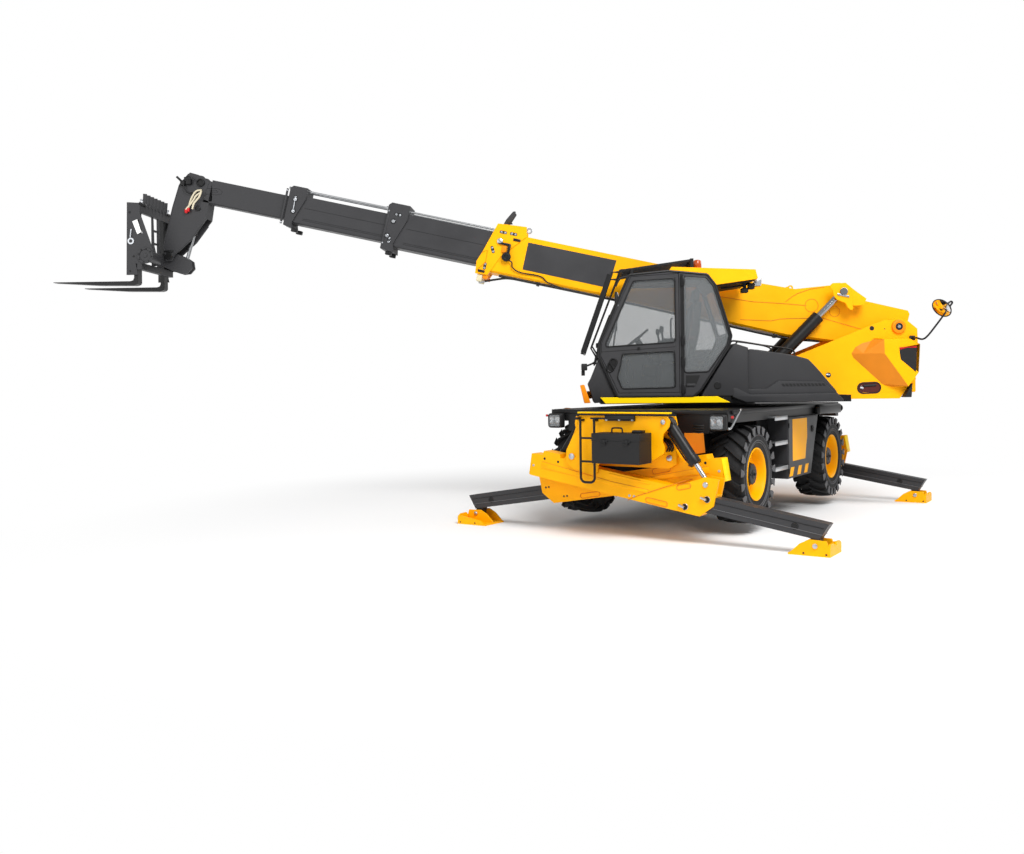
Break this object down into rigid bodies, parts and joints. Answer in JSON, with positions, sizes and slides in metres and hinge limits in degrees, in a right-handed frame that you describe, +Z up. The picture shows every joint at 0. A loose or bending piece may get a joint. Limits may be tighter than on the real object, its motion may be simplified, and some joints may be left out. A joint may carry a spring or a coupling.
{
  "type": "rotating telescopic handler",
  "caption": "Rotating telescopic handler with a slewing cab and boom turret, pallet forks and four crossed swing-down stabilisers on a two-axle chassis.",
  "frame": {"origin": "on the ground under the turret's slewing axis, the machine standing on its four stabilisers", "axes": "+X towards the chassis' front, +Y to its left, +Z up"},
  "size_m": [7.5662, 10.9474, 4.776],
  "materials": {
    "yellow_paint": "gloss",
    "dark_grey_paint": "satin",
    "black_paint": "satin",
    "black_plastic": "matte",
    "tyre_rubber": "matte",
    "chromed_steel": "polished",
    "zinc_steel": "satin",
    "smoked_glass": "gloss",
    "clear_lens": "gloss",
    "amber_lens": "gloss",
    "seat_fabric": "matte",
    "mirror_glass": "polished"
  },
  "bodies": {
    "chassis": {"chassis_frame": "dark_grey_paint", "side_boxes": "dark_grey_paint", "axles": "dark_grey_paint", "stabiliser_frames": "dark_grey_paint", "toolbox": "black_plastic", "ladder": "zinc_steel", "lamps": "clear_lens"},
    "turret": {"turret_frame": "dark_grey_paint", "side_covers": "dark_grey_paint", "cab_frame": "dark_grey_paint", "cab_glass": "smoked_glass", "cab_roof": "yellow_paint", "roof_guard": "black_paint", "seat": "seat_fabric", "beacon": "amber_lens", "mirror": "black_plastic"},
    "door": {"cab_door": "dark_grey_paint", "door_glass": "smoked_glass"},
    "boom_outer": {"boom_outer": "yellow_paint"},
    "boom_second": {"boom_second": "dark_grey_paint"},
    "boom_third": {"boom_third": "dark_grey_paint"},
    "boom_inner": {"boom_inner": "dark_grey_paint"},
    "lift_tubes": {"lift_tubes": "black_paint"},
    "lift_rods": {"lift_rods": "chromed_steel"},
    "tilt_ram_tube": {"tilt_ram_tube": "black_paint"},
    "tilt_ram_rod": {"tilt_ram_rod": "chromed_steel"},
    "carriage": {"carriage": "dark_grey_paint", "forks": "black_paint"},
    "knuckle_front_left": {"knuckle_front_left": "dark_grey_paint"},
    "wheel_front_left": {"rim_front_left": "yellow_paint", "tyre_front_left": "tyre_rubber"},
    "knuckle_front_right": {"knuckle_front_right": "dark_grey_paint"},
    "wheel_front_right": {"rim_front_right": "yellow_paint", "tyre_front_right": "tyre_rubber"},
    "knuckle_rear_left": {"knuckle_rear_left": "dark_grey_paint"},
    "wheel_rear_left": {"rim_rear_left": "yellow_paint", "tyre_rear_left": "tyre_rubber"},
    "knuckle_rear_right": {"knuckle_rear_right": "dark_grey_paint"},
    "wheel_rear_right": {"rim_rear_right": "yellow_paint", "tyre_rear_right": "tyre_rubber"},
    "beam_front_left": {"stabiliser_beam_front_left": "dark_grey_paint"},
    "slider_front_left": {"stabiliser_slider_front_left": "dark_grey_paint"},
    "foot_front_left": {"stabiliser_foot_front_left": "yellow_paint"},
    "ram_tube_front_left": {"stabiliser_ram_tube_front_left": "black_paint"},
    "ram_rod_front_left": {"stabiliser_ram_rod_front_left": "chromed_steel"},
    "beam_front_right": {"stabiliser_beam_front_right": "dark_grey_paint"},
    "slider_front_right": {"stabiliser_slider_front_right": "dark_grey_paint"},
    "foot_front_right": {"stabiliser_foot_front_right": "yellow_paint"},
    "ram_tube_front_right": {"stabiliser_ram_tube_front_right": "black_paint"},
    "ram_rod_front_right": {"stabiliser_ram_rod_front_right": "chromed_steel"},
    "beam_rear_left": {"stabiliser_beam_rear_left": "dark_grey_paint"},
    "slider_rear_left": {"stabiliser_slider_rear_left": "dark_grey_paint"},
    "foot_rear_left": {"stabiliser_foot_rear_left": "yellow_paint"},
    "ram_tube_rear_left": {"stabiliser_ram_tube_rear_left": "black_paint"},
    "ram_rod_rear_left": {"stabiliser_ram_rod_rear_left": "chromed_steel"},
    "beam_rear_right": {"stabiliser_beam_rear_right": "dark_grey_paint"},
    "slider_rear_right": {"stabiliser_slider_rear_right": "dark_grey_paint"},
    "foot_rear_right": {"stabiliser_foot_rear_right": "yellow_paint"},
    "ram_tube_rear_right": {"stabiliser_ram_tube_rear_right": "black_paint"},
    "ram_rod_rear_right": {"stabiliser_ram_rod_rear_right": "chromed_steel"}
  },
  "joints": [
    {"name": "slew", "type": "hinge", "parent": "chassis", "child": "turret", "pos_m": [0, 0, 1.5], "axis": [0, 0, 1], "continuous": true},
    {"name": "cab_door_hinge", "type": "hinge", "parent": "turret", "child": "door", "pos_m": [1.30463, 0.19066, 2.375], "axis": [0, 0, 1], "range_deg": [0, 75]},
    {"name": "boom_lift", "type": "hinge", "parent": "turret", "child": "boom_outer", "pos_m": [-1.33577, 2.06222, 2.467], "axis": [-0.8607, -0.509, 0], "range_deg": [-15.6, 57.4]},
    {"name": "boom_extend", "type": "slide", "parent": "boom_outer", "child": "boom_second", "axis": [0.4968, -0.84, 0.2181], "range_m": [-1.1, 2.9]},
    {"name": "boom_extend_third", "type": "slide", "parent": "boom_second", "child": "boom_third", "axis": [0.4968, -0.84, 0.2181], "range_m": [-1.1, 2.9]},
    {"name": "boom_extend_inner", "type": "slide", "parent": "boom_third", "child": "boom_inner", "axis": [0.4968, -0.84, 0.2181], "range_m": [-1.1, 2.9]},
    {"name": "lift_tube_swing", "type": "hinge", "parent": "turret", "child": "lift_tubes", "pos_m": [-0.36096, 0.4139, 1.7], "axis": [-0.8607, -0.509, 0], "range_deg": [-1.02, 3.72]},
    {"name": "lift_rod_slide", "type": "slide", "parent": "lift_tubes", "child": "lift_rods", "axis": [-0.3559, 0.6019, 0.7149], "range_m": [-0.22023, 0.81006]},
    {"name": "carriage_tilt", "type": "hinge", "parent": "boom_inner", "child": "carriage", "pos_m": [3.72156, -6.48925, 3.61], "axis": [0.8607, 0.509, 0], "range_deg": [-16, 60]},
    {"name": "tilt_tube_swing", "type": "hinge", "parent": "boom_inner", "child": "tilt_ram_tube", "pos_m": [3.50878, -6.12946, 4.269], "axis": [-0.8607, -0.509, 0], "range_deg": [-1.88, 7.03]},
    {"name": "tilt_rod_slide", "type": "slide", "parent": "tilt_ram_tube", "child": "tilt_ram_rod", "axis": [0.1434, -0.2424, -0.9595], "range_m": [-0.20108, 0.0537]},
    {"name": "steer_front_left", "type": "hinge", "parent": "chassis", "child": "knuckle_front_left", "pos_m": [1.525, 0.92, 0.685], "axis": [0, 0, 1], "range_deg": [-28, 28]},
    {"name": "spin_front_left", "type": "hinge", "parent": "knuckle_front_left", "child": "wheel_front_left", "pos_m": [1.525, 1.03, 0.685], "axis": [0, 1, 0], "continuous": true},
    {"name": "steer_front_right", "type": "hinge", "parent": "chassis", "child": "knuckle_front_right", "pos_m": [1.525, -0.92, 0.685], "axis": [0, 0, 1], "range_deg": [-28, 28]},
    {"name": "spin_front_right", "type": "hinge", "parent": "knuckle_front_right", "child": "wheel_front_right", "pos_m": [1.525, -1.03, 0.685], "axis": [0, 1, 0], "continuous": true},
    {"name": "steer_rear_left", "type": "hinge", "parent": "chassis", "child": "knuckle_rear_left", "pos_m": [-1.525, 0.92, 0.685], "axis": [0, 0, 1], "range_deg": [-28, 28]},
    {"name": "spin_rear_left", "type": "hinge", "parent": "knuckle_rear_left", "child": "wheel_rear_left", "pos_m": [-1.525, 1.03, 0.685], "axis": [0, 1, 0], "continuous": true},
    {"name": "steer_rear_right", "type": "hinge", "parent": "chassis", "child": "knuckle_rear_right", "pos_m": [-1.525, -0.92, 0.685], "axis": [0, 0, 1], "range_deg": [-28, 28]},
    {"name": "spin_rear_right", "type": "hinge", "parent": "knuckle_rear_right", "child": "wheel_rear_right", "pos_m": [-1.525, -1.03, 0.685], "axis": [0, 1, 0], "continuous": true},
    {"name": "swing_front_left", "type": "hinge", "parent": "chassis", "child": "beam_front_left", "pos_m": [2.56, -0.567, 0.917], "axis": [1, 0, 0], "range_deg": [0, 8.5]},
    {"name": "extend_front_left", "type": "slide", "parent": "beam_front_left", "child": "slider_front_left", "axis": [0, -0.9869, 0.1616], "range_m": [0, 1.08]},
    {"name": "foot_front_left", "type": "hinge", "parent": "slider_front_left", "child": "foot_front_left", "pos_m": [2.56, 2.2467, 0.10462], "axis": [1, 0, 0], "range_deg": [-8.51, 0.01]},
    {"name": "ram_tube_swing_front_left", "type": "hinge", "parent": "chassis", "child": "ram_tube_front_left", "pos_m": [2.56, 0.602, 1.329], "axis": [1, 0, 0], "range_deg": [-0.01, 14.07]},
    {"name": "ram_rod_slide_front_left", "type": "slide", "parent": "ram_tube_front_left", "child": "ram_rod_front_left", "axis": [0, 0.5754, -0.8179], "range_m": [-0.16973, 0.0001]},
    {"name": "swing_front_right", "type": "hinge", "parent": "chassis", "child": "beam_front_right", "pos_m": [2.32, 0.567, 0.917], "axis": [-1, 0, 0], "range_deg": [0, 8.5]},
    {"name": "extend_front_right", "type": "slide", "parent": "beam_front_right", "child": "slider_front_right", "axis": [0, 0.9869, 0.1616], "range_m": [0, 0.995]},
    {"name": "foot_front_right", "type": "hinge", "parent": "slider_front_right", "child": "foot_front_right", "pos_m": [2.32, -2.16282, 0.11835], "axis": [-1, 0, 0], "range_deg": [-8.51, 0.01]},
    {"name": "ram_tube_swing_front_right", "type": "hinge", "parent": "chassis", "child": "ram_tube_front_right", "pos_m": [2.32, -0.602, 1.329], "axis": [-1, 0, 0], "range_deg": [-0.01, 14.07]},
    {"name": "ram_rod_slide_front_right", "type": "slide", "parent": "ram_tube_front_right", "child": "ram_rod_front_right", "axis": [0, -0.5754, -0.8179], "range_m": [-0.16973, 0.0001]},
    {"name": "swing_rear_left", "type": "hinge", "parent": "chassis", "child": "beam_rear_left", "pos_m": [-2.32, -0.567, 0.917], "axis": [1, 0, 0], "range_deg": [0, 8.5]},
    {"name": "extend_rear_left", "type": "slide", "parent": "beam_rear_left", "child": "slider_rear_left", "axis": [0, -0.9869, 0.1616], "range_m": [0, 1.05]},
    {"name": "foot_rear_left", "type": "hinge", "parent": "slider_rear_left", "child": "foot_rear_left", "pos_m": [-2.32, 2.21709, 0.10947], "axis": [1, 0, 0], "range_deg": [-8.51, 0.01]},
    {"name": "ram_tube_swing_rear_left", "type": "hinge", "parent": "chassis", "child": "ram_tube_rear_left", "pos_m": [-2.32, 0.602, 1.329], "axis": [1, 0, 0], "range_deg": [-0.01, 14.07]},
    {"name": "ram_rod_slide_rear_left", "type": "slide", "parent": "ram_tube_rear_left", "child": "ram_rod_rear_left", "axis": [0, 0.5754, -0.8179], "range_m": [-0.16973, 0.0001]},
    {"name": "swing_rear_right", "type": "hinge", "parent": "chassis", "child": "beam_rear_right", "pos_m": [-2.56, 0.567, 0.917], "axis": [-1, 0, 0], "range_deg": [0, 8.5]},
    {"name": "extend_rear_right", "type": "slide", "parent": "beam_rear_right", "child": "slider_rear_right", "axis": [0, 0.9869, 0.1616], "range_m": [0, 1.05]},
    {"name": "foot_rear_right", "type": "hinge", "parent": "slider_rear_right", "child": "foot_rear_right", "pos_m": [-2.56, -2.21709, 0.10947], "axis": [-1, 0, 0], "range_deg": [-8.51, 0.01]},
    {"name": "ram_tube_swing_rear_right", "type": "hinge", "parent": "chassis", "child": "ram_tube_rear_right", "pos_m": [-2.56, -0.602, 1.329], "axis": [-1, 0, 0], "range_deg": [-0.01, 14.07]},
    {"name": "ram_rod_slide_rear_right", "type": "slide", "parent": "ram_tube_rear_right", "child": "ram_rod_rear_right", "axis": [0, -0.5754, -0.8179], "range_m": [-0.16973, 0.0001]}
  ],
  "couplings": [
    {"joint": "boom_extend_third", "follows": "boom_extend", "ratio": 1},
    {"joint": "boom_extend_inner", "follows": "boom_extend", "ratio": 1},
    {"joint": "lift_tube_swing", "follows": "boom_lift", "ratio": 0.064713},
    {"joint": "lift_rod_slide", "follows": "boom_lift", "m_per_rad": 0.80849},
    {"joint": "tilt_tube_swing", "follows": "carriage_tilt", "ratio": 0.11704},
    {"joint": "tilt_rod_slide", "follows": "carriage_tilt", "m_per_rad": -0.19192},
    {"joint": "steer_front_right", "follows": "steer_front_left", "ratio": 1},
    {"joint": "steer_rear_left", "follows": "steer_front_left", "ratio": -1},
    {"joint": "steer_rear_right", "follows": "steer_front_left", "ratio": -1},
    {"joint": "foot_front_left", "follows": "swing_front_left", "ratio": -1},
    {"joint": "ram_tube_swing_front_left", "follows": "swing_front_left", "ratio": 1.654},
    {"joint": "ram_rod_slide_front_left", "follows": "swing_front_left", "m_per_rad": -1.1434},
    {"joint": "foot_front_right", "follows": "swing_front_right", "ratio": -1},
    {"joint": "ram_tube_swing_front_right", "follows": "swing_front_right", "ratio": 1.654},
    {"joint": "ram_rod_slide_front_right", "follows": "swing_front_right", "m_per_rad": -1.1434},
    {"joint": "foot_rear_left", "follows": "swing_rear_left", "ratio": -1},
    {"joint": "ram_tube_swing_rear_left", "follows": "swing_rear_left", "ratio": 1.654},
    {"joint": "ram_rod_slide_rear_left", "follows": "swing_rear_left", "m_per_rad": -1.1434},
    {"joint": "foot_rear_right", "follows": "swing_rear_right", "ratio": -1},
    {"joint": "ram_tube_swing_rear_right", "follows": "swing_rear_right", "ratio": 1.654},
    {"joint": "ram_rod_slide_rear_right", "follows": "swing_rear_right", "m_per_rad": -1.1434}
  ]
}
